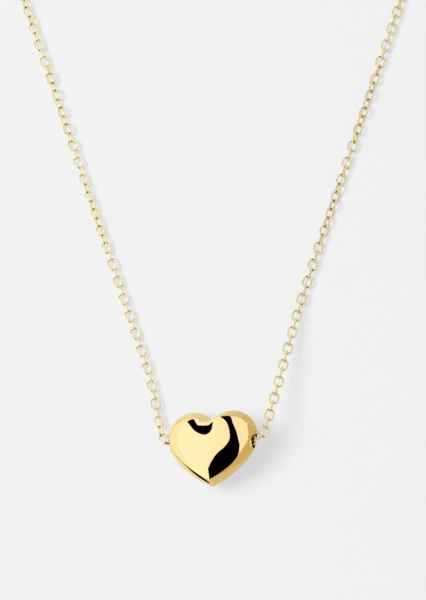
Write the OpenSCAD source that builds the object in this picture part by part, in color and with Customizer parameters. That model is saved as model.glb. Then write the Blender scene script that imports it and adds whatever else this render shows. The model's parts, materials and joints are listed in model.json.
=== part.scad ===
// Pendant necklace: a puffed heart bead threaded on a fine cable chain.
// The closed loop lies flat on a table. Units are mm, +Z is up and the table is Z = 0.
// +X is to the right of the heart and +Y runs from the heart to the clasp.
// The origin is the middle of the loop's bounding box, at table height.

/* [Heart] */
// Width across the two lobes
heart_w = 12.7; // [12.4:0.1:13]
// Radius of each lobe
lobe_r = 3.6; // [3.4:0.05:3.7]
// Height of the lobe centres over the bore
lobe_y = 0.65; // [0.5:0.05:0.8]
// Half thickness of the side band at the crease
band_h = 1.3; // [1.25:0.05:1.5]
// How far the crease sits in from the widest outline
band_in = 0.75; // [0.65:0.05:0.8]
// Rise of the face from the crease to its middle
face_h = 1.85; // [1.6:0.05:2]
// Tilt of the bore above the table
heart_tilt = 20; // [18:0.5:22]
// Bore radius
bore_r = 0.95; // [0.93:0.01:0.97]
// Wall of the bore tube
tube_wall = 0.12; // [0.1:0.01:0.14]

/* [Chain] */
// Outside length of a link
link_l = 1.8; // [1.76:0.01:1.84]
// Outside width of a link
link_w = 1.36; // [1.3:0.01:1.4]
// Wire diameter of a link
wire_d = 0.26; // [0.24:0.01:0.27]
// Gap between two links where they hook together
link_play = 0.04; // [0.03:0.005:0.06]
// Lean of each strand away from the middle line
strand_lean = 18.4; // [17.5:0.1:19]
// Half the distance between the strands at the height of the bore
strand_x = 5.35; // [5.2:0.05:5.5]
// Links in the straight part of each strand
straight_links = 70; // [60:2:80]
// Largest extra twist of a link along a strand
twist = 40; // [0:1:45]

/* [Clasp] */
// Thickness of the clasp across the lever
clasp_t = 1.9; // [1.8:0.05:2]
// Wire diameter of both rings
ring_wire = 0.4; // [0.36:0.01:0.4]

/* [Hidden] */
$fn = 40;

// ---- heart ----
cleft_r = 0.5;          // rounding in the cleft
tip_r = 0.8;            // rounding of the tip
side_r = 9.2;           // curve of the flank below the lobe
lower_r = 15.9;         // flatter curve down to the tip
flank_from = 32;        // where the lobe hands over to the flank, degrees below level
lower_from = 49;        // where the flank hands over to the lower curve
shell_wall = 0.35;      // wall at the middle of the face
shell_in = 0.92;        // inside outline as a share of the outside one
heart_mid_y = 1.05;       // the point the face rises towards
oval_w = 6.25;          // half width of the oval that the face's outlines round off to
oval_up = 4.65;         // reach of that oval above the middle point
oval_down = 5.05;        // and below it
oval_power = 2.2;       // how quickly the outlines round off towards the middle
crease_rise = 1.3;      // the crease rises where the oval reaches past it by more than this
crease_ease = 0.15;     // softness of that rise
band_steps = 4;
band_power = 1.2;       // power of the side band's curve
face_steps = 8;
face_bow = 2;           // power of the face's curve
tube_half = heart_w / 2 - 0.55;  // half length of the bore tube
flare = 0.07;           // widening of each bore mouth
tube_r = bore_r + tube_wall;

lobe_x = heart_w / 2 - lobe_r;
cleft_y = lobe_y + sqrt(pow(lobe_r + cleft_r, 2) - lobe_x * lobe_x);
flank_c = [lobe_x + (lobe_r - side_r) * cos(flank_from),
           lobe_y - (lobe_r - side_r) * sin(flank_from)];
lower_c = [flank_c.x + (side_r - lower_r) * cos(lower_from),
           flank_c.y - (side_r - lower_r) * sin(lower_from)];
tip_y = lower_c.y - sqrt(pow(lower_r - tip_r, 2) - lower_c.x * lower_c.x);
tip_from = atan2(tip_y - lower_c.y, -lower_c.x);

// Points [x, y, outward x, outward y] along an arc; side is -1 on a hollow curve.
function arc_points(c, r, from, to, n, side = 1) =
  [for (i = [0:n - 1]) let (a = from + (to - from) * i / n)
    [c.x + r * cos(a), c.y + r * sin(a), side * cos(a), side * sin(a)]];

half_outline = concat(
  arc_points([0, cleft_y], cleft_r, -90, atan2(lobe_y - cleft_y, lobe_x), 4, -1),
  arc_points([lobe_x, lobe_y], lobe_r, atan2(cleft_y - lobe_y, -lobe_x), -flank_from, 20),
  arc_points(flank_c, side_r, -flank_from, -lower_from, 5),
  arc_points(lower_c, lower_r, -lower_from, tip_from, 6),
  arc_points([0, tip_y], tip_r, tip_from, -90, 5),
  [[0, tip_y - tip_r, 0, -1]]);
half_n = len(half_outline) - 1;
outline = concat(half_outline,
  [for (i = [half_n - 1:-1:1]) let (p = half_outline[i]) [-p[0], p[1], -p[2], p[3]]]);
around = len(outline);

// Where a line from the oval's middle towards v meets the oval.
function on_oval(v) = v / norm([v.x / oval_w, v.y / (v.y > 0 ? oval_up : oval_down)]);

// One ring of the domed half, 0 at the widest outline and rings - 1 next to the middle.
// The face is an oval dome that the side band cuts off, so the crease is highest in the cleft.
rings = band_steps + face_steps;
middle = [0, heart_mid_y];
function heart_ring(j) =
  let (t = min(j, band_steps) / band_steps,
       s = 1 - max(j - band_steps, 0) / face_steps)
  [for (p = outline)
    let (at = [p[0], p[1]],
         outward = [p[2], p[3]],
         crease = at - band_in * outward - middle,
         oval = on_oval(crease),
         share = norm(crease) / norm(oval),
         near = crease_rise * share,
         cut = (1 + near - norm([1 - near, crease_ease])) / 2,
         dome = band_h + face_h * (1 - pow(s * cut, face_bow)),
         on_face = middle + s * (cut + (share - cut) * pow(s, oval_power)) * oval,
         q = t < 1 ? at - band_in * pow(t, band_power) * outward : on_face)
    [q.x, q.y, t * dome]];
outer_rings = [for (j = [0:rings - 1]) heart_ring(j)];
heart_t = band_h + face_h;
inner_z = (heart_t - shell_wall) / heart_t;
inner_rings = [for (r = outer_rings) [for (p = r)
  [p.x * shell_in, heart_mid_y + (p.y - heart_mid_y) * shell_in, p.z * inner_z]]];

// Height of the heart's middle so that its tilted back just rests on the table.
heart_z = max([for (r = outer_rings) for (p = r) p.z * cos(heart_tilt) + p.x * sin(heart_tilt)]);

// ---- chain ----
pitch = link_l - 2 * wire_d - link_play;
chain_z = link_w / 2;
side_half = (link_w - wire_d) / 2;   // middle line to the middle of a side wire
end_half = (link_l - wire_d) / 2;    // middle of the link to the middle of an end wire
end_flat = 0.08;                     // short straight part of each end wire
bend_r = side_half - end_flat / 2;
hook = end_half - pitch / 2;         // an end wire lies this far past the hooking point

low_y = 25.3;                          // lowest matching points of the two strands
apex_y = -strand_x / tan(strand_lean);
low_reach = (low_y - apex_y) / cos(strand_lean);
reach = low_reach + straight_links * pitch;
loop_r = reach * tan(strand_lean);
loop_y = apex_y + reach / cos(strand_lean);
step = 2 * asin(pitch / (2 * loop_r));
clasp_room = 5.1;                    // half the straight line left for the clasp
arc_links = 2 * floor((90 + strand_lean - asin(clasp_room / loop_r)) / step / 2);
strand_links = straight_links + arc_links;
group = 12;                          // links in each numbered length of chain
groups = 8;                          // matching lengths on each side
rise_links = 10;                     // links over which a strand lifts to its ring

// ---- rings and clasp ----
jump_r = 1;                          // middle radius of the clasp's jump ring
end_r = 1.25;                        // middle radius of the ring that the clasp hooks
jump_lean = 20;                      // lean of each ring from upright
end_lean = 40;
jump_z = jump_r * cos(jump_lean) + ring_wire / 2;
end_z = end_r * cos(end_lean) + ring_wire / 2;

// Hooking point k of a strand, side 1 on the right and -1 on the left.
function ramp(t) = let (u = max(0, min(1, t))) u * u * (3 - 2 * u);
function strand_point(side, k) =
  let (z = chain_z + ((side > 0 ? end_z : jump_z) - chain_z)
         * ramp((k - strand_links + rise_links) / rise_links))
  k <= straight_links
    ? [side * (low_reach + k * pitch) * sin(strand_lean),
       apex_y + (low_reach + k * pitch) * cos(strand_lean), z]
    : let (a = 90 + strand_lean - (k - straight_links) * step)
      [side * loop_r * sin(a), loop_y + loop_r * cos(a), z];

// Turn of link k about its own length. Odd links lie flat and even ones stand on edge.
function extra_turn(side, k) =
  twist * sin(180 * (k % group) / (group - 1)) * sin(137 * floor(k / group) + 80 * side + 25);
function end_turn(side, k) =
  (side > 0 ? end_lean : jump_lean) * ramp((k - strand_links + rise_links + 1) / rise_links);
function strand_turn(side, k) =
  (k % 2 == 1 ? 0 : 90)
  + (k < group * groups ? extra_turn(side, k) : 0) + end_turn(side, k);

// The chain's route under the lowest matching points: down the left strand,
// through the heart and up the right strand, as corners with rounding radii.
bend_x = 7;                          // where the route turns at each bore mouth
bend_out = 2;                        // radius of that turn
function in_heart(p) =
  [p.x * cos(heart_tilt) - p.z * sin(heart_tilt), p.y,
   heart_z + p.x * sin(heart_tilt) + p.z * cos(heart_tilt)];
left_rise_y = 9;
right_rise_y = 20;
function on_strand(side, y) = [side * (strand_x + y * tan(strand_lean)), y, chain_z];
corners = [on_strand(-1, low_y), on_strand(-1, left_rise_y),
  in_heart([-bend_x, 0, 0]), in_heart([bend_x, 0, 0]),
  on_strand(1, right_rise_y), on_strand(1, low_y)];
rounding = [0, 8, bend_out, bend_out, 25, 0];
function unit(v) = v / norm(v);
legs = len(corners) - 1;
headings = [for (i = [0:legs - 1]) unit(corners[i + 1] - corners[i])];
turns = [for (i = [0:legs])
  i == 0 || i == legs ? 0 : acos(headings[i - 1] * headings[i])];
trims = [for (i = [0:legs]) rounding[i] * tan(turns[i] / 2)];
function leg_length(i) = norm(corners[i + 1] - corners[i]) - trims[i] - trims[i + 1];
function turn_length(i) = rounding[i] * turns[i] * PI / 180;
function total(v, i = 0) = i == len(v) ? 0 : v[i] + total(v, i + 1);
low_length = total([for (i = [0:legs - 1]) leg_length(i) + turn_length(i + 1)]);
low_links = 2 * round((low_length / pitch - 1) / 2) + 1;
low_pitch = low_length / low_links;
function route(s, i = 0) =
  s <= leg_length(i) || i == legs - 1
    ? corners[i] + headings[i] * (trims[i] + s)
    : let (t = s - leg_length(i), j = i + 1)
      t <= turn_length(j)
        ? let (a = t / rounding[j] * 180 / PI,
               inward = unit(headings[j] - headings[i] * cos(turns[j])))
          corners[j] - headings[i] * trims[j]
            + rounding[j] * (sin(a) * headings[i] + (1 - cos(a)) * inward)
        : route(t - turn_length(j), j);
function low_point(n) = route(n * low_pitch);
low_left = 20;                       // links from the lowest left point to the bore
low_through = 11;                    // links in and at the mouths of the bore
// Links beside the left mouth turn a little, to lie along the lobe's side.
mouth_turn = -30;
function low_turn(k) = (k % 2 == 0 ? 0 : 90)
  + mouth_turn * max(0, 1 - abs(k - low_left + 0.5) / 2.5);

// ---- clasp, in its own flat frame ----
hook_x = 1.4;                        // middle of the hook's opening
hook_r = 1.9;                        // middle radius of the hook
hook_wire = 0.45;                    // radius of the hook's section
lever_wire = 0.4;
pivot = [-1.1, 0.55];
pivot_r = 0.22;
pivot_play = 0.03;
lever_reach = 3.2;                   // the lever's tip, from its pivot
lever_gap = 0.06;
slot_t = 0.7;
lever_t = 0.6;
cheek_r = 0.8;
tail_t = 0.8;
tail_r = 1;
tail_hole_r = 0.5;
tail_play = 0.26;
hook_play = 0.1;
link_end = wire_d / 2 + link_play;
end_ring_x = hook_x + hook_r - hook_wire - ring_wire / 2 - hook_play + end_r;
strand_end = strand_point(1, strand_links);
// The last link's end wire rests inside each ring, so the rings' outermost wires are fixed.
ring_in = ring_wire / 2 + link_end - hook;
end_ring_at = [strand_end.x + ring_in - end_r, strand_end.y, end_z];
jump_ring_at = [-strand_end.x - ring_in + jump_r, strand_end.y, jump_z];
clasp_at = [end_ring_at.x - end_ring_x, strand_end.y, max(clasp_t / 2, jump_z)];
tail_x = jump_ring_at.x + jump_r + (tail_hole_r - ring_wire / 2 - tail_play) - clasp_at.x;

// Points above are measured from the heart's bore. Half way from the tip to the clasp:
middle_y = (tip_y - tip_r + clasp_at.y + hook_r + hook_wire) / 2;

gold = [0.93, 0.76, 0.38];

module link(length_half) {
  s = length_half - bend_r;
  for (e = [0, 180]) rotate([0, 0, e]) {
    for (f = [0, 1]) mirror([0, f, 0]) translate([s, end_flat / 2, 0])
      rotate_extrude(angle = 90) translate([bend_r, 0]) circle(d = wire_d);
    translate([length_half, -end_flat / 2, 0]) rotate([-90, 0, 0])
      cylinder(h = end_flat, d = wire_d);
    translate([-s, side_half, 0]) rotate([0, 90, 0]) cylinder(h = 2 * s, d = wire_d);
  }
}

// Moves a piece from the bore's frame to the middle of the loop.
module centred() translate([0, -middle_y, 0]) children();
module at_clasp() centred() translate(clasp_at) children();

// A link between two hooking points, turned about its own length.
module link_between(a, b, turn) {
  d = b - a;
  translate((a + b) / 2)
    rotate([0, -atan2(d.z, norm([d.x, d.y])), atan2(d.y, d.x)])
      rotate([turn, 0, 0]) link(end_half);
}

module strand(side, from, to)
  color(gold) centred() for (k = [from:to - 1])
    link_between(strand_point(side, k), strand_point(side, k + 1), side * strand_turn(side, k));

module low_chain(from, to)
  color(gold) centred() for (k = [from:to - 1])
    link_between(low_point(k), low_point(k + 1), low_turn(k));

module left_group(n) strand(-1, group * (groups - n), group * (groups - n + 1));
module right_group(n) strand(1, group * (groups - n), group * (groups - n + 1));

module place_heart()
  centred() translate([0, 0, heart_z]) rotate([0, -heart_tilt, 0]) children();

module half_shell() {
  m = rings * around;
  inner = m + 1;
  points = concat([for (r = outer_rings) each r], [[0, heart_mid_y, heart_t]],
                  [for (r = inner_rings) each r], [[0, heart_mid_y, heart_t * inner_z]]);
  faces = concat(
    [for (j = [0:rings - 2]) for (i = [0:around - 1]) let (n = (i + 1) % around,
      a = j * around + i, b = j * around + n, c = b + around, d = a + around)
      each [[a, b, c], [a, c, d], [inner + a, inner + c, inner + b], [inner + a, inner + d, inner + c]]],
    [for (i = [0:around - 1]) let (n = (i + 1) % around,
      a = (rings - 1) * around + i, b = (rings - 1) * around + n)
      each [[a, b, m], [inner + a, inner + m, inner + b],
            [i, inner + i, inner + n], [i, inner + n, n]]]);
  difference() {
    polyhedron(points, faces);
    rotate([0, 90, 0]) cylinder(r = tube_r, h = 2 * heart_w, center = true);
  }
}

module heart_front_shell() color(gold) place_heart() half_shell();
module heart_back_shell() color(gold) place_heart() mirror([0, 0, 1]) half_shell();
module heart_bore_tube() color(gold) place_heart() rotate([0, 90, 0]) difference() {
  cylinder(r = tube_r, h = 2 * tube_half, center = true);
  cylinder(r = bore_r, h = 2 * tube_half + 1, center = true);
  for (e = [0, 1]) mirror([0, 0, e]) translate([0, 0, tube_half - flare])
    cylinder(r1 = bore_r, r2 = bore_r + 2 * flare, h = 2 * flare);
}

module chain_through_heart() low_chain(low_left, low_left + low_through);
module left_chain_9() low_chain(0, low_left);
module right_chain_9() low_chain(low_left + low_through, low_links);
module top_left_chain() strand(-1, group * groups, strand_links);
module top_right_chain() strand(1, group * groups, strand_links);
module left_chain_1() left_group(1);
module left_chain_2() left_group(2);
module left_chain_3() left_group(3);
module left_chain_4() left_group(4);
module left_chain_5() left_group(5);
module left_chain_6() left_group(6);
module left_chain_7() left_group(7);
module left_chain_8() left_group(8);
module right_chain_1() right_group(1);
module right_chain_2() right_group(2);
module right_chain_3() right_group(3);
module right_chain_4() right_group(4);
module right_chain_5() right_group(5);
module right_chain_6() right_group(6);
module right_chain_7() right_group(7);
module right_chain_8() right_group(8);

module hook_arc(radius, from, to)
  translate([hook_x, 0, 0]) rotate([0, 0, from]) rotate_extrude(angle = to - from)
    translate([hook_r, 0]) circle(r = radius);

module clasp_body() color(gold) at_clasp() difference() {
  union() {
    hook_arc(hook_wire, -160, 84);
    translate([0, 0, -clasp_t / 2]) linear_extrude(clasp_t) {
      translate(pivot) circle(r = cheek_r);
      polygon([[tail_x + 1.2, 0.5], [pivot.x - 0.5, 1.15], [pivot.x, -0.2], [-0.3, -0.35],
               [-0.35, -1], [pivot.x - 1, -1.1], [tail_x + 1.2, -0.5]]);
    }
    translate([0, 0, -tail_t / 2]) linear_extrude(tail_t) {
      translate([tail_x, 0]) circle(r = tail_r);
      translate([tail_x, -0.5]) square([1.4, 1]);
    }
  }
  translate([pivot.x - 0.95, 0, -slot_t / 2]) cube([3, 3, slot_t]);
  translate([0, 0, -clasp_t]) intersection() {
    translate(pivot) cylinder(r = lever_reach + lever_gap, h = 2 * clasp_t);
    translate([0, 0.9, 0]) cube([4, 3, 2 * clasp_t]);
  }
  translate([tail_x, 0, -clasp_t]) cylinder(r = tail_hole_r, h = 2 * clasp_t);
  translate([pivot.x, pivot.y, -clasp_t]) cylinder(r = pivot_r, h = 2 * clasp_t);
}

module clasp_lever() color(gold) at_clasp() difference() {
  union() {
    intersection() {
      hook_arc(lever_wire, 74, 140);
      translate([pivot.x, pivot.y, -clasp_t]) cylinder(r = lever_reach, h = 2 * clasp_t);
    }
    translate([0, 0, -lever_t / 2]) linear_extrude(lever_t) {
      translate(pivot) circle(r = 0.5);
      polygon([[pivot.x + 0.25, pivot.y - 0.4], [0.3, 0.98], [0, 1.6], [-0.8, 2.1],
               [-1.3, 1.9], [pivot.x - 0.45, pivot.y + 0.1]]);
      translate([-1.05, 1.95]) circle(r = 0.28);
    }
  }
  translate([pivot.x, pivot.y, -clasp_t]) cylinder(r = pivot_r + pivot_play, h = 2 * clasp_t);
}

module clasp_pin() color(gold) at_clasp()
  translate([pivot.x, pivot.y, -clasp_t / 2]) cylinder(r = pivot_r, h = clasp_t);

module clasp_spring() color([0.75, 0.76, 0.78]) at_clasp()
  translate([pivot.x - 0.73, 0.3, -0.2]) rotate([0, 0, 40])
    rotate_extrude(angle = 250) translate([0.13, 0]) square([0.06, 0.4]);

module upright_ring(at, radius, lean) color(gold) centred() translate(at)
  rotate([90 - lean, 0, 0]) rotate_extrude() translate([radius, 0]) circle(d = ring_wire);
module clasp_jump_ring() upright_ring(jump_ring_at, jump_r, jump_lean);
module end_ring() upright_ring(end_ring_at, end_r, end_lean);

heart_front_shell();
heart_back_shell();
heart_bore_tube();
chain_through_heart();
top_left_chain();
left_chain_1();
left_chain_2();
left_chain_3();
left_chain_4();
left_chain_5();
left_chain_6();
left_chain_7();
left_chain_8();
left_chain_9();
top_right_chain();
right_chain_1();
right_chain_2();
right_chain_3();
right_chain_4();
right_chain_5();
right_chain_6();
right_chain_7();
right_chain_8();
right_chain_9();
clasp_body();
clasp_lever();
clasp_pin();
clasp_spring();
clasp_jump_ring();
end_ring();
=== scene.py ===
"""A polished gold heart bead on a fine cable chain, lying closed on a pale table.

The scene is in metres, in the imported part's frame: +Z up, table at Z = 0, and +Y from the heart
to the clasp.
"""
import json
import math
import bmesh
import bpy
import numpy as np
from mathutils import Matrix, Vector


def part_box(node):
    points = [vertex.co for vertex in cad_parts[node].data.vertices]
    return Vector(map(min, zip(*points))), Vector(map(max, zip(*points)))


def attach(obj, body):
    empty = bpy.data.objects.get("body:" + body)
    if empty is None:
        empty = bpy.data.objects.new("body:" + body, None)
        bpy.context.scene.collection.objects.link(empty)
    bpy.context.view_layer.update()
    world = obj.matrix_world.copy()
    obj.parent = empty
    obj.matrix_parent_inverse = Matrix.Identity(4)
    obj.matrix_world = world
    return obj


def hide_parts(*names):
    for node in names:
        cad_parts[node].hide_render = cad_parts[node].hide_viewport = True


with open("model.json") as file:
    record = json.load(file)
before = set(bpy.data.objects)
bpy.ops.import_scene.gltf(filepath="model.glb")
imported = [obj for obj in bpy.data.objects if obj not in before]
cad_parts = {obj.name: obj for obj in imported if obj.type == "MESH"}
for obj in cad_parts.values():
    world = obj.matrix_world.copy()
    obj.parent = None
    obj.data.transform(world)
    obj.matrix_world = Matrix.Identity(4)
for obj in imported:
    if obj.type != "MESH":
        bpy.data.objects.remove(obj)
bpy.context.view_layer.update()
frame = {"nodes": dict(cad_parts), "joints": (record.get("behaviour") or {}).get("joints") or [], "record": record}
MM = 0.001
SAME_PLACE = 1e-7       # corners closer than this are one corner, metres

# ---- sizes of the pieces that are remade finer than the frame's own meshes, in millimetres ----
HEART_W = 12.7          # width across the two lobes
LOBE_R = 3.6            # radius of each lobe
LOBE_Y = 0.65           # lobe centres above the bore
CLEFT_R = 0.5           # rounding in the cleft
TIP_R = 0.8             # rounding of the tip
SIDE_R = 9.2            # curve of the flank below the lobe
LOWER_R = 15.9          # flatter curve down to the tip
FLANK_FROM = 32.0       # degrees below level where the lobe hands over to the flank
LOWER_FROM = 49.0       # degrees below level where the flank hands over to the lower curve
BAND_H = 1.3            # half thickness of the side band at the crease
BAND_IN = 0.75          # how far the crease sits in from the widest outline
BAND_POWER = 1.2        # power of the side band's curve
FACE_H = 1.85           # rise of the face from the crease to its middle
FACE_MID_Y = 1.05       # the point the face rises towards
FACE_BOW = 2.0          # power of the face's curve
OVAL_W = 6.25           # half width of the oval that the face's outlines round off to
OVAL_UP = 4.65          # reach of that oval above the middle point
OVAL_DOWN = 5.05        # and below it
OVAL_POWER = 2.2        # how quickly the outlines round off towards the middle
CREASE_RISE = 1.3       # the crease rises where the oval reaches past it by more than this
CREASE_EASE = 0.15      # softness of that rise
SHELL_WALL = 0.35       # wall at the middle of the face
SHELL_IN = 0.92         # inside outline as a share of the outside one
SOFT_BAND = 0.045       # share of the band that the rounded crease takes
SOFT_FACE = 0.0225      # and share of the face
CLEFT_STEPS, LOBE_STEPS, FLANK_STEPS, LOWER_STEPS, TIP_STEPS = 4, 20, 5, 6, 5
FINENESS = 6            # each of those steps is split into this many
BAND_RINGS = 16
BAND_CROWDING = 1.5     # the band's rings crowd towards the seam
CREASE_RINGS = 6
FACE_RINGS = 47
BORE_R = 0.95           # bore radius
TUBE_WALL = 0.12        # wall of the bore tube
MOUTH_FLARE = 0.07      # widening of each bore mouth
RIM_SOFT = 0.015        # bevel on the tube's outer rims
ROUND_SIDES = 128       # sides of the tube and of its hole
DRILL_HALF = 8.0        # the drill reaches past both flanks
DRILL_CORE = 0.001      # radius left undrilled on the bore's axis

LINK_L = 1.8            # outside length of a link
LINK_W = 1.36           # outside width of a link
WIRE_D = 0.26           # wire diameter of a link
END_FLAT = 0.08         # straight part of each end wire
WIRE_SIDES = 14
BEND_STEPS = 10         # steps in each of a link's four bends

JUMP_RING_R = 1.0       # radius of the ring's centre line
END_RING_R = 1.25       # radius of the ring's centre line
RING_WIRE = 0.4         # wire diameter of both rings
RING_STEPS = 96
RING_SIDES = 20
BODY_VOXEL = 0.03       # voxel of the clasp body's softened copy
LEVER_VOXEL = 0.025     # voxel of the lever's softened copy

# ---- the view ----
VIEW_ELEVATION = 80.0   # degrees above the table
VIEW_DISTANCE = 450.0   # millimetres from the heart
VIEW_HEIGHT = 80.0      # millimetres seen from bottom to top at the heart
HEART_BELOW = 19.07     # the bore lies this far below the middle of the view
HEART_LEFT = 0.04       # and this far left of it
SENSOR = 36.0

# ---- metals: two close tones each ----
HEART_TONES = ((0.94, 0.7, 0.34), (0.96, 0.73, 0.38))
CHAIN_TONES = ((0.94, 0.8, 0.43), (0.98, 0.87, 0.55))
CLASP_TONES = ((0.94, 0.75, 0.37), (0.96, 0.80, 0.43))
STEEL_TONES = ((0.42, 0.43, 0.45), (0.62, 0.63, 0.65))
GOLD_EDGE = (1.0, 0.97, 0.86)           # tint of gold at a grazing angle
CREVICE_SHADE = (0.16, 0.085, 0.02)           # painted shade in the crevices, dark brown
CREVICE_SHADE_FROM, CREVICE_SHADE_TO = 0.45, 0.8    # open share at which the painted shade is full, and gone
NOISE_LOW, NOISE_HIGH = 0.3, 0.7        # nearly all of a noise lies between these
TONE_SCALE, TONE_DETAIL = 260.0, 3.0    # noise cells per metre
POLISH_SCALE, POLISH_DETAIL = 900.0, 5.0
WAVE_SCALE, WAVE_DETAIL = 420.0, 2.0
WAVE_DEPTH = 0.00002
HAIR_STRETCH = (900.0, 14000.0, 9000.0)
HAIR_TURN = (0.4, 0.2, 0.7)
HAIR_DEPTH = 0.000002
STEEL_SCALE, STEEL_DETAIL = 6000.0, 6.0
STEEL_ROUGHNESS = (0.18, 0.34)
PAPER_TONES = ((0.872, 0.872, 0.875), (0.878, 0.878, 0.881))
PAPER_SCALE, PAPER_DETAIL = 300.0, 3.0

# ---- the studio ----
BLACK = (0.001, 0.001, 0.001)
AMBER = (0.66, 0.54, 0.3)
TENT_RIGHT, TENT_LEFT = (1.08, 1.08, 1.1), (1.26, 1.22, 1.28)
TENT_FADE = (0.12, -0.5)                # metres right of the heart
TENT_R = 0.7
# The sheet is a painted reflection of the table: light on the key's side, painted shade towards the right.
SHEET_LEFT, SHEET_RIGHT = (1.06, 1.12, 1.08), (0.68, 0.66, 0.5)
SHEET_FADE = (-0.02, 0.012)             # metres right of the heart
SHEET_HALF = 400                        # millimetres
SHEET_LIFT, CREASE_LIFT = 0.02, 0.03    # millimetres above the table
CARD_R, AMBER_R = 0.3, 0.32             # metres from the heart
CARD_STEPS = 6                          # points along a card's edge from corner to corner
CARD_FACET = 6.0                        # longest edge of a card's facets, degrees
# Corners of the curved cards: degrees away from straight up, towards +X and +Y.
STRIP_CARD = [(-16, 89), (-6, 50), (-2, 23), (-1, 1), (-3, -14), (-10, -26),
              (-20, -34), (-27, -42), (-18, -54), (4, -62), (22, -64), (20, -56),
              (17, -46), (17, -34), (14, -15), (11, 12), (8, 38), (7, 89)]
HOOK_CARD = [(-66, 62), (-68, 51), (-59, 22), (-51, 9), (-41, 3), (-33, 6), (-28, 18),
             (-27, 42), (-32, 38), (-34, 20), (-39, 13), (-46, 21), (-52, 44), (-50, 78)]
AMBER_CARD = [(64, 60), (78, 30), (74, 0), (62, -34), (49, -58), (30, -70), (0, -80),
              (-14, -92), (0, -100), (60, -90), (100, -50), (110, 0), (96, 62)]
# Corners of the flat black card on the table, seen only in reflections, that paints a dark reflected line along
# the heart's crease: millimetres from under the heart.
CREASE_CARD = [(-8.4, -2.6), (-2.5, -8.8), (-3.1, -9.5), (-11.0, -4.6)]
SKY_STRENGTH = 0.755
KEY_FROM = (-0.5, 0.04, 0.8)            # metres from the heart
KEY_SIZE = 0.5
KEY_POWER = 2.75
FLOOR_HALF = 3.0


def heart_place():
    """Matrix from the heart's own millimetres to the frame's metres."""
    lo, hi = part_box("heart_bore_tube")
    spin = next(j for j in frame["joints"] if j["name"] == "heart_spin")
    along = Vector(spin["axis"]).normalized()
    across = Vector((0, 1, 0))
    out = along.cross(across)
    turn = Matrix((along, across, out)).transposed().to_4x4()
    return Matrix.Translation((lo + hi) / 2) @ turn @ Matrix.Scale(MM, 4)


HEART = heart_place()


# ---- camera ----
def make_camera():
    elevation = math.radians(VIEW_ELEVATION)
    back = Vector((0, -math.cos(elevation), math.sin(elevation)))
    up = Vector((0, math.sin(elevation), math.cos(elevation)))
    data = bpy.data.cameras.new("camera")
    data.sensor_width = SENSOR
    data.lens = SENSOR * VIEW_DISTANCE / VIEW_HEIGHT
    data.clip_start = 0.01
    camera = bpy.data.objects.new("camera", data)
    bpy.context.scene.collection.objects.link(camera)
    middle = HEART.translation + up * HEART_BELOW * MM + Vector((HEART_LEFT * MM, 0, 0))
    camera.location = middle + back * VIEW_DISTANCE * MM
    camera.rotation_euler = (-back).to_track_quat("-Z", "Y").to_euler()
    bpy.context.scene.camera = camera


# ---- materials ----
def new_material(name):
    material = bpy.data.materials.new(name)
    material.use_nodes = True
    nodes = material.node_tree.nodes
    return material, nodes, material.node_tree.links, nodes["Principled BSDF"]


def add_noise(nodes, links, scale, detail):
    where = nodes.new("ShaderNodeTexCoord")
    noise = nodes.new("ShaderNodeTexNoise")
    noise.inputs["Scale"].default_value = scale
    noise.inputs["Detail"].default_value = detail
    links.new(where.outputs["Object"], noise.inputs["Vector"])
    return noise


def add_range(nodes, links, source, low, high):
    spread = nodes.new("ShaderNodeMapRange")
    spread.inputs["From Min"].default_value = NOISE_LOW
    spread.inputs["From Max"].default_value = NOISE_HIGH
    spread.inputs["To Min"].default_value = low
    spread.inputs["To Max"].default_value = high
    links.new(source, spread.inputs["Value"])
    return spread.outputs["Result"]


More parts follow.
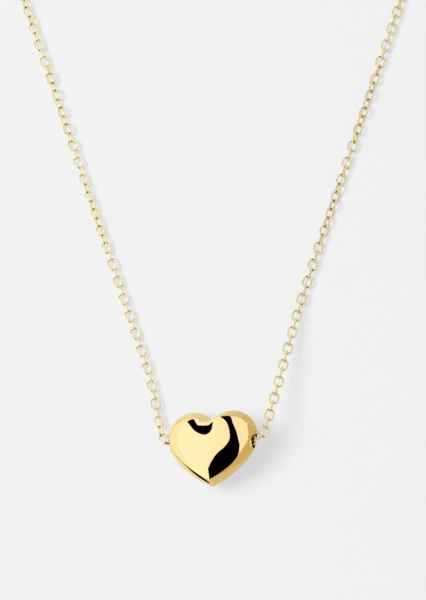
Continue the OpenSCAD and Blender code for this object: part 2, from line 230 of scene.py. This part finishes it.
def polished_gold(name, tones, roughness, ripple, scratch, crevice):
    """Polished metal: two close tones, a polish that varies, faint waves and hairline scratches.

    Painted shade darkens it where other metal lies closer than crevice metres.
    """
    material, nodes, links, shader = new_material(name)
    shader.inputs["Metallic"].default_value = 1.0
    shader.inputs["Specular Tint"].default_value = (*GOLD_EDGE, 1.0)
    tone = nodes.new("ShaderNodeValToRGB")
    for stop, place, colour in zip(tone.color_ramp.elements, (NOISE_LOW, NOISE_HIGH), tones):
        stop.position = place
        stop.color = (*colour, 1)
    cloud = add_noise(nodes, links, TONE_SCALE, TONE_DETAIL)
    links.new(cloud.outputs["Fac"], tone.inputs["Fac"])
    # painted shade: ambient occlusion darkens the base colour towards dark brown where other metal is near
    closeness = nodes.new("ShaderNodeAmbientOcclusion")
    closeness.inputs["Distance"].default_value = crevice
    closeness.samples = 8
    crevice_shade = nodes.new("ShaderNodeMapRange")
    crevice_shade.inputs["From Min"].default_value = CREVICE_SHADE_FROM
    crevice_shade.inputs["From Max"].default_value = CREVICE_SHADE_TO
    blend = nodes.new("ShaderNodeMix")
    blend.data_type = "RGBA"
    blend.inputs["A"].default_value = (*CREVICE_SHADE, 1)
    links.new(closeness.outputs["AO"], crevice_shade.inputs["Value"])
    links.new(crevice_shade.outputs["Result"], blend.inputs["Factor"])
    links.new(tone.outputs["Color"], blend.inputs["B"])
    links.new(blend.outputs["Result"], shader.inputs["Base Color"])
    polish = add_noise(nodes, links, POLISH_SCALE, POLISH_DETAIL)
    links.new(add_range(nodes, links, polish.outputs["Fac"], *roughness), shader.inputs["Roughness"])
    waves = add_noise(nodes, links, WAVE_SCALE, WAVE_DETAIL)
    hair = nodes.new("ShaderNodeTexNoise")
    hair.inputs["Scale"].default_value = 1.0
    hair.inputs["Detail"].default_value = 2.0
    where = nodes.new("ShaderNodeTexCoord")
    stretch = nodes.new("ShaderNodeMapping")
    stretch.inputs["Scale"].default_value = HAIR_STRETCH
    stretch.inputs["Rotation"].default_value = HAIR_TURN
    links.new(where.outputs["Object"], stretch.inputs["Vector"])
    links.new(stretch.outputs["Vector"], hair.inputs["Vector"])
    bump_a = nodes.new("ShaderNodeBump")
    bump_a.inputs["Strength"].default_value = ripple
    bump_a.inputs["Distance"].default_value = WAVE_DEPTH
    links.new(waves.outputs["Fac"], bump_a.inputs["Height"])
    bump_b = nodes.new("ShaderNodeBump")
    bump_b.inputs["Strength"].default_value = scratch
    bump_b.inputs["Distance"].default_value = HAIR_DEPTH
    links.new(hair.outputs["Fac"], bump_b.inputs["Height"])
    links.new(bump_a.outputs["Normal"], bump_b.inputs["Normal"])
    links.new(bump_b.outputs["Normal"], shader.inputs["Normal"])
    return material


def spring_steel():
    """Bright steel strip with rolling marks along its length."""
    material, nodes, links, shader = new_material("spring_steel")
    shader.inputs["Metallic"].default_value = 1.0
    shader.inputs["Anisotropic"].default_value = 0.4
    tone = nodes.new("ShaderNodeValToRGB")
    for stop, colour in zip(tone.color_ramp.elements, STEEL_TONES):
        stop.color = (*colour, 1)
    marks = add_noise(nodes, links, STEEL_SCALE, STEEL_DETAIL)
    links.new(marks.outputs["Fac"], tone.inputs["Fac"])
    links.new(tone.outputs["Color"], shader.inputs["Base Color"])
    links.new(add_range(nodes, links, marks.outputs["Fac"], *STEEL_ROUGHNESS),
              shader.inputs["Roughness"])
    return material


def table_paper():
    """Matt pale card with a very faint tooth."""
    material, nodes, links, shader = new_material("table_paper")
    shader.inputs["Roughness"].default_value = 0.9
    shader.inputs["Specular IOR Level"].default_value = 0.1
    tone = nodes.new("ShaderNodeValToRGB")
    for stop, colour in zip(tone.color_ramp.elements, PAPER_TONES):
        stop.color = (*colour, 1)
    tooth = add_noise(nodes, links, PAPER_SCALE, PAPER_DETAIL)
    links.new(tooth.outputs["Fac"], tone.inputs["Fac"])
    links.new(tone.outputs["Color"], shader.inputs["Base Color"])
    return material


def glow(name, near, far, fade_from=0.0, fade_to=1.0):
    """Even light that runs from one colour to another between two places along the object's X axis."""
    material = bpy.data.materials.new(name)
    material.use_nodes = True
    nodes, links = material.node_tree.nodes, material.node_tree.links
    nodes.clear()
    out = nodes.new("ShaderNodeOutputMaterial")
    light = nodes.new("ShaderNodeEmission")
    where = nodes.new("ShaderNodeTexCoord")
    split = nodes.new("ShaderNodeSeparateXYZ")
    fade = nodes.new("ShaderNodeMapRange")
    fade.interpolation_type = "SMOOTHSTEP"
    fade.inputs["From Min"].default_value = fade_from
    fade.inputs["From Max"].default_value = fade_to
    blend = nodes.new("ShaderNodeMix")
    blend.data_type = "RGBA"
    blend.inputs["A"].default_value = (*near, 1)
    blend.inputs["B"].default_value = (*far, 1)
    links.new(where.outputs["Object"], split.inputs["Vector"])
    links.new(split.outputs["X"], fade.inputs["Value"])
    links.new(fade.outputs["Result"], blend.inputs["Factor"])
    links.new(blend.outputs["Result"], light.inputs["Color"])
    links.new(light.outputs["Emission"], out.inputs["Surface"])
    return material


# ---- mesh helpers ----
SHARP_ANGLE = 30.0          # edges sharper than this stay sharp, degrees
WIRE_SHARP_ANGLE = 60.0     # the same on round wire


def make_object(name, points, faces, smooth_angle=SHARP_ANGLE):
    mesh = bpy.data.meshes.new(name)
    mesh.from_pydata([tuple(p) for p in points], [], faces)
    mesh.validate()
    mesh.update()
    piece = bpy.data.objects.new(name, mesh)
    bpy.context.scene.collection.objects.link(piece)
    shade(piece, smooth_angle)
    return piece


def shade(piece, smooth_angle):
    """Smooth shading that keeps edges sharper than smooth_angle degrees."""
    piece.data.shade_smooth()
    piece.data.set_sharp_from_angle(angle=math.radians(smooth_angle))


def apply_modifiers(piece):
    graph = bpy.context.evaluated_depsgraph_get()
    mesh = bpy.data.meshes.new_from_object(piece.evaluated_get(graph))
    piece.modifiers.clear()
    piece.data = mesh


def finish_piece(piece, body, material, node):
    """The piece rides on its body and takes the place of the CAD node."""
    piece.data.materials.clear()
    piece.data.materials.append(material)
    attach(piece, body)
    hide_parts(node)
    piece.visible_diffuse = False


def lathe(profile, segments, matrix):
    """Points and faces of a closed profile [(radius, along)] turned about the matrix's X axis."""
    n = len(profile)
    points = []
    for i in range(segments):
        a = 2 * math.pi * i / segments
        for r, x in profile:
            points.append(matrix @ Vector((x, r * math.cos(a), r * math.sin(a))))
    faces = []
    for i in range(segments):
        k = (i + 1) % segments
        for j in range(n):
            m = (j + 1) % n
            faces.append((i * n + j, k * n + j, k * n + m, i * n + m))
    return points, faces


# ---- heart ----
def arc_points(centre, radius, start, end, count, side=1.0):
    """Rows of x, y and the outward direction along an arc; side is -1 on a hollow curve."""
    a = np.radians(start + (end - start) * np.arange(count) / count)
    c, s = np.cos(a), np.sin(a)
    return np.stack([centre[0] + radius * c, centre[1] + radius * s, side * c, side * s], 1)


def heart_outline():
    """The widest outline, all the way round, as rows of x, y and the outward direction."""
    lobe_x = HEART_W / 2 - LOBE_R
    cleft_y = LOBE_Y + math.sqrt((LOBE_R + CLEFT_R) ** 2 - lobe_x ** 2)
    flank, lower = math.radians(FLANK_FROM), math.radians(LOWER_FROM)
    flank_c = (lobe_x + (LOBE_R - SIDE_R) * math.cos(flank),
               LOBE_Y - (LOBE_R - SIDE_R) * math.sin(flank))
    lower_c = (flank_c[0] + (SIDE_R - LOWER_R) * math.cos(lower),
               flank_c[1] - (SIDE_R - LOWER_R) * math.sin(lower))
    tip_y = lower_c[1] - math.sqrt((LOWER_R - TIP_R) ** 2 - lower_c[0] ** 2)
    tip_from = math.degrees(math.atan2(tip_y - lower_c[1], -lower_c[0]))
    cleft_to = math.degrees(math.atan2(LOBE_Y - cleft_y, lobe_x))
    lobe_at = math.degrees(math.atan2(cleft_y - LOBE_Y, -lobe_x))
    half = np.concatenate([
        arc_points((0, cleft_y), CLEFT_R, -90, cleft_to, CLEFT_STEPS * FINENESS, -1.0),
        arc_points((lobe_x, LOBE_Y), LOBE_R, lobe_at, -FLANK_FROM, LOBE_STEPS * FINENESS),
        arc_points(flank_c, SIDE_R, -FLANK_FROM, -LOWER_FROM, FLANK_STEPS * FINENESS),
        arc_points(lower_c, LOWER_R, -LOWER_FROM, tip_from, LOWER_STEPS * FINENESS),
        arc_points((0, tip_y), TIP_R, tip_from, -90, TIP_STEPS * FINENESS),
        [[0, tip_y - TIP_R, 0, -1]]])
    return np.concatenate([half, half[1:-1][::-1] * np.array([-1, 1, -1, 1])])


def heart_rings(outline):
    """Outer rings of the domed half, from the widest outline to next to the middle."""
    middle = np.array([0, FACE_MID_Y])
    crease = outline[:, :2] - BAND_IN * outline[:, 2:] - middle
    reach = np.where(crease[:, 1:2] > 0, OVAL_UP, OVAL_DOWN)
    oval = crease / np.hypot(crease[:, 0:1] / OVAL_W, crease[:, 1:2] / reach)
    share = (np.linalg.norm(crease, axis=1, keepdims=True)
             / np.linalg.norm(oval, axis=1, keepdims=True))
    near = CREASE_RISE * share
    cut = (1 + near - np.hypot(1 - near, CREASE_EASE)) / 2

    def face(s):
        flat = middle + s * (cut + (share - cut) * s ** OVAL_POWER) * oval
        return np.column_stack([flat, BAND_H + FACE_H * (1 - (s * cut) ** FACE_BOW)])

    crease_z = face(1.0)[:, 2]

    def band(t):
        flat = outline[:, :2] - BAND_IN * t ** BAND_POWER * outline[:, 2:]
        return np.column_stack([flat, t * crease_z])

    soft_t, soft_s = 1 - SOFT_BAND, 1 - SOFT_FACE
    before, at, after = band(soft_t), face(1.0), face(soft_s)
    rings = [band(t) for t in np.linspace(0, 1, BAND_RINGS + 1)[:-1] ** BAND_CROWDING * soft_t]
    rings += [before * (1 - t) ** 2 + at * 2 * t * (1 - t) + after * t ** 2
              for t in np.linspace(0, 1, CREASE_RINGS + 1)[:-1]]
    rings += [face(s) for s in np.linspace(soft_s, 0, FACE_RINGS + 1)[:-1]]
    return rings


def heart_shell(name, mirror):
    """One pressed half of the bead: two skins joined round the seam, with the bore's holes."""
    outline = heart_outline()
    outer = heart_rings(outline)
    top = BAND_H + FACE_H
    thin = np.array([SHELL_IN, SHELL_IN, (top - SHELL_WALL) / top])
    middle = np.array([0, FACE_MID_Y, 0])
    inner = [middle + (r - middle) * thin for r in outer]
    n, m = len(outline), len(outer)
    outer_top, inner_top = 2 * m * n, 2 * m * n + 1
    points = np.concatenate(outer + inner
                            + [[[0, FACE_MID_Y, top]], [[0, FACE_MID_Y, top - SHELL_WALL]]])
    faces = []
    for i in range(n):
        k = (i + 1) % n
        for j in range(m - 1):
            a, b, c, d = j * n + i, (j + 1) * n + i, (j + 1) * n + k, j * n + k
            faces.append((a, b, c, d))
            faces.append((a + m * n, d + m * n, c + m * n, b + m * n))
        last = (m - 1) * n
        faces.append((last + i, outer_top, last + k))
        faces.append((last + m * n + i, last + m * n + k, inner_top))
        faces.append((i, k, k + m * n, i + m * n))
    if mirror:
        points = points * np.array([1, 1, -1])
    else:
        faces = [f[::-1] for f in faces]
    points = [HEART @ Vector(p) for p in points]
    shell = make_object(name, points, faces)
    hole_r = BORE_R + TUBE_WALL
    drill = make_object("drill", *lathe([(DRILL_CORE, -DRILL_HALF), (hole_r, -DRILL_HALF),
                                         (hole_r, DRILL_HALF), (DRILL_CORE, DRILL_HALF)],
                                        ROUND_SIDES, HEART))
    cut = shell.modifiers.new("hole", "BOOLEAN")
    cut.object = drill
    cut.operation = "DIFFERENCE"
    cut.solver = "EXACT"
    apply_modifiers(shell)
    bpy.data.objects.remove(drill)
    shade(shell, SHARP_ANGLE)
    return shell


def bore_tube(material):
    lo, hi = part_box("heart_bore_tube")
    reach = hi.x - lo.x
    along = HEART.to_3x3().col[0].normalized()
    half = (reach - 2 * (BORE_R + TUBE_WALL) * MM * abs(along.z)) / 2 / abs(along.x) / MM
    r, w, soft = BORE_R, TUBE_WALL, RIM_SOFT
    profile = [(r, half - MOUTH_FLARE), (r, MOUTH_FLARE - half), (r + MOUTH_FLARE, -half),
               (r + w - soft, -half), (r + w, soft - half), (r + w, half - soft),
               (r + w - soft, half), (r + MOUTH_FLARE, half)]
    piece = make_object("heart_bore_tube_fine", *lathe(profile, ROUND_SIDES, HEART))
    finish_piece(piece, "heart", material, "heart_bore_tube")


# ---- chain ----
def link_path():
    """Points and in-plane outward directions of a link's centre line, in millimetres."""
    side = (LINK_W - WIRE_D) / 2
    end = (LINK_L - WIRE_D) / 2
    bend = side - END_FLAT / 2
    straight = end - bend
    rows = []
    for quarter, (sx, sy) in enumerate([(1, 1), (-1, 1), (-1, -1), (1, -1)]):
        for i in range(BEND_STEPS + 1):
            a = math.pi / 2 * (quarter + i / BEND_STEPS)
            rows.append((sx * straight + bend * math.cos(a), sy * END_FLAT / 2 + bend * math.sin(a),
                         math.cos(a), math.sin(a)))
    return np.array(rows)


PATH = link_path()


def link_points(centre, along, across):
    """A link's surface: rings of WIRE_SIDES points round its path."""
    out = np.cross(along, across)
    a = 2 * np.pi * np.arange(WIRE_SIDES) / WIRE_SIDES
    radial, lift = np.cos(a) * WIRE_D / 2, np.sin(a) * WIRE_D / 2
    x = PATH[:, 0:1] + PATH[:, 2:3] * radial
    y = PATH[:, 1:2] + PATH[:, 3:4] * radial
    z = np.broadcast_to(lift, x.shape)
    local = np.stack([x.ravel(), y.ravel(), z.ravel()], 1) * MM
    return centre + local @ np.array([along, across, out])


def link_faces(start):
    n, w = len(PATH), WIRE_SIDES
    return [(start + i * w + j, start + (i + 1) % n * w + j, start + (i + 1) % n * w + (j + 1) % w,
             start + i * w + (j + 1) % w) for i in range(n) for j in range(w)]


def loose_parts(node):
    """Vertex positions of each separate solid in a CAD node."""
    mesh = frame["nodes"][node].data
    co = np.zeros(len(mesh.vertices) * 3)
    mesh.vertices.foreach_get("co", co)
    co = co.reshape(-1, 3)
    _, same = np.unique(np.round(co / SAME_PLACE).astype(np.int64), axis=0, return_inverse=True)
    same = same.ravel()
    parent = list(range(same.max() + 1))

    def root(i):
        while parent[i] != i:
            parent[i] = parent[parent[i]]
            i = parent[i]
        return i

    for polygon in mesh.polygons:
        first = root(same[polygon.vertices[0]])
        for v in polygon.vertices[1:]:
            parent[root(same[v])] = first
    groups = {}
    for i, place in enumerate(same):
        groups.setdefault(root(place), []).append(i)
    return [np.unique(np.round(co[g], 8), axis=0) for g in groups.values()]


def link_pose(points):
    """Centre, length direction and width direction of a link from its vertices."""
    centre = points.mean(0)
    spread = (points - centre).T @ (points - centre)
    _, axes = np.linalg.eigh(spread)
    along, across, out = axes[:, 2], axes[:, 1], axes[:, 0]
    middle = [(((points @ d).max() + (points @ d).min()) / 2) * d for d in (along, across, out)]
    return sum(middle), along, across


def fine_chain(node, body, material):
    points, faces = [], []
    for part in sorted(loose_parts(node), key=lambda p: tuple(p.mean(0))):
        faces += link_faces(len(points) * len(PATH) * WIRE_SIDES)
        points.append(link_points(*link_pose(part)))
    piece = make_object(node + "_fine", np.concatenate(points), faces, WIRE_SHARP_ANGLE)
    finish_piece(piece, body, material, node)


# ---- clasp and rings ----
def fine_ring(node, radius, material):
    """A closed ring in the plane of its CAD node."""
    points = loose_parts(node)[0]
    centre = (points.min(0) + points.max(0)) / 2
    spread = (points - points.mean(0)).T @ (points - points.mean(0))
    _, axes = np.linalg.eigh(spread)
    turn = Matrix([axes[:, 0], axes[:, 1], np.cross(axes[:, 0], axes[:, 1])]).transposed().to_4x4()
    place = Matrix.Translation(Vector(centre)) @ turn @ Matrix.Scale(MM, 4)
    profile = [(radius + RING_WIRE / 2 * math.cos(a), RING_WIRE / 2 * math.sin(a))
               for a in np.linspace(0, 2 * math.pi, RING_SIDES + 1)[:-1]]
    piece = make_object(node + "_fine", *lathe(profile, RING_STEPS, place), WIRE_SHARP_ANGLE)
    finish_piece(piece, "clasp_end", material, node)


def cast_piece(node, body, material, voxel):
    """The CAD solid with its edges softened, as a cast and tumbled piece has them."""
    source = frame["nodes"][node]
    piece = bpy.data.objects.new(node + "_cast", source.data.copy())
    bpy.context.scene.collection.objects.link(piece)
    weld = piece.modifiers.new("weld", "WELD")
    weld.merge_threshold = SAME_PLACE
    remesh = piece.modifiers.new("remesh", "REMESH")
    remesh.mode = "VOXEL"
    remesh.voxel_size = voxel * MM
    soften = piece.modifiers.new("soften", "SMOOTH")
    soften.factor = 0.5
    soften.iterations = 4
    apply_modifiers(piece)
    shade(piece, 180.0)
    finish_piece(piece, body, material, node)


# ---- studio ----
def make_floor():
    h = FLOOR_HALF
    floor = make_object("floor", [(-h, -h, 0), (h, -h, 0), (h, h, 0), (-h, h, 0)], [(0, 1, 2, 3)])
    floor.data.materials.append(table_paper())


def glossy_only(card):
    card.visible_camera = False
    card.visible_diffuse = False
    card.visible_shadow = False
    card.visible_transmission = False
    card.visible_volume_scatter = False


def smooth_loop(corners):
    """A closed curve through the corners."""
    c = np.array(corners, float)
    t = (np.arange(CARD_STEPS) / CARD_STEPS)[:, None]
    rows = []
    for i in range(len(c)):
        a, b, d, e = c[i - 1], c[i], c[(i + 1) % len(c)], c[(i + 2) % len(c)]
        bend = 2 * a - 5 * b + 4 * d - e + t * (3 * (b - d) + e - a)
        rows.append(b + 0.5 * t * (d - a + t * bend))
    return np.concatenate(rows)


def studio_card(name, corners, material, radius=CARD_R):
    """A curved card over the heart. Its corners are degrees away from straight up, towards +X and +Y."""
    shape = bmesh.new()
    face = shape.faces.new([shape.verts.new((x, y, 0)) for x, y in smooth_loop(corners)])
    bmesh.ops.triangulate(shape, faces=[face])
    for _ in range(3):
        long_edges = [e for e in shape.edges if e.calc_length() > CARD_FACET]
        bmesh.ops.subdivide_edges(shape, edges=long_edges, cuts=1)
        bmesh.ops.triangulate(shape, faces=shape.faces[:])
    for v in shape.verts:
        lean = math.hypot(v.co.x, v.co.y)
        share = math.sin(math.radians(lean)) / max(lean, 1e-9)
        v.co = Vector((v.co.x * share, v.co.y * share, math.cos(math.radians(lean)))) * radius
    mesh = bpy.data.meshes.new(name)
    shape.to_mesh(mesh)
    shape.free()
    card = bpy.data.objects.new(name, mesh)
    card.location = HEART.translation
    bpy.context.scene.collection.objects.link(card)
    mesh.materials.append(material)
    glossy_only(card)


def floor_card(name, corners, material, lift):
    """A flat card on the table. Its corners are millimetres from under the heart."""
    card = make_object(name, [(x * MM, y * MM, 0) for x, y in corners], [tuple(range(len(corners)))])
    card.location = (HEART.translation.x, HEART.translation.y, lift * MM)
    card.data.materials.append(material)
    glossy_only(card)


def make_cards():
    """What the polished gold sees: a white tent, black and amber cards, and a sheet on the table that paints the
    table's reflection, light at the left and shaded at the right.
    """
    black = glow("black_card", BLACK, BLACK)
    studio_card("strip_card", STRIP_CARD, black)
    studio_card("hook_card", HOOK_CARD, black)
    studio_card("amber_card", AMBER_CARD, glow("amber_card", AMBER, AMBER), AMBER_R)
    bpy.ops.mesh.primitive_uv_sphere_add(segments=64, ring_count=32, radius=TENT_R,
                                         location=HEART.translation)
    dome = bpy.context.object
    dome.name = "tent"
    dome.data.materials.append(glow("tent", TENT_RIGHT, TENT_LEFT, *TENT_FADE))
    glossy_only(dome)
    w = SHEET_HALF
    sheet = glow("sheet", SHEET_LEFT, SHEET_RIGHT, *SHEET_FADE)
    floor_card("sheet", [(-w, -w), (w, -w), (w, w), (-w, w)], sheet, SHEET_LIFT)
    # painted reflection: a black card that draws a dark line along the heart's crease
    floor_card("crease_card", CREASE_CARD, black, CREASE_LIFT)


def make_world():
    world = bpy.data.worlds.new("studio")
    bpy.context.scene.world = world
    world.use_nodes = True
    sky = world.node_tree.nodes["Background"]
    sky.inputs["Color"].default_value = (1.0, 1.0, 1.0, 1.0)
    sky.inputs["Strength"].default_value = SKY_STRENGTH


def make_lights():
    data = bpy.data.lights.new("key", "AREA")
    data.shape = "DISK"
    data.size = KEY_SIZE
    data.energy = KEY_POWER
    key = bpy.data.objects.new("key", data)
    bpy.context.scene.collection.objects.link(key)
    place = Vector(KEY_FROM) + HEART.translation
    key.location = place
    key.rotation_euler = (HEART.translation - place).to_track_quat("-Z", "Y").to_euler()
    key.visible_glossy = False


def build():
    heart_gold = polished_gold("heart_gold", HEART_TONES, roughness=(0.012, 0.035),
                               ripple=0.2, scratch=0.04, crevice=0.0002)
    chain_gold = polished_gold("chain_gold", CHAIN_TONES, roughness=(0.04, 0.12),
                               ripple=0.3, scratch=0.1, crevice=0.0005)
    clasp_gold = polished_gold("clasp_gold", CLASP_TONES, roughness=(0.04, 0.16),
                               ripple=0.5, scratch=0.2, crevice=0.0004)
    steel = spring_steel()
    for name, mirror in (("heart_front_shell", False), ("heart_back_shell", True)):
        finish_piece(heart_shell(name + "_fine", mirror), "heart", heart_gold, name)
    bore_tube(heart_gold)
    bodies = frame["record"]["behaviour"]["bodies"]
    for body, nodes in bodies.items():
        for node in nodes:
            if "chain" in node:
                fine_chain(node, body, chain_gold)
    fine_ring("clasp_jump_ring", JUMP_RING_R, chain_gold)
    fine_ring("end_ring", END_RING_R, chain_gold)
    cast_piece("clasp_body", "clasp_end", clasp_gold, BODY_VOXEL)
    cast_piece("clasp_lever", "lever", clasp_gold, LEVER_VOXEL)
    for node, material in (("clasp_pin", clasp_gold), ("clasp_spring", steel)):
        mesh = frame["nodes"][node].data
        mesh.materials.clear()
        mesh.materials.append(material)


make_camera()
bpy.context.scene.view_settings.view_transform = "Standard"
make_world()
make_lights()
make_floor()
make_cards()
build()
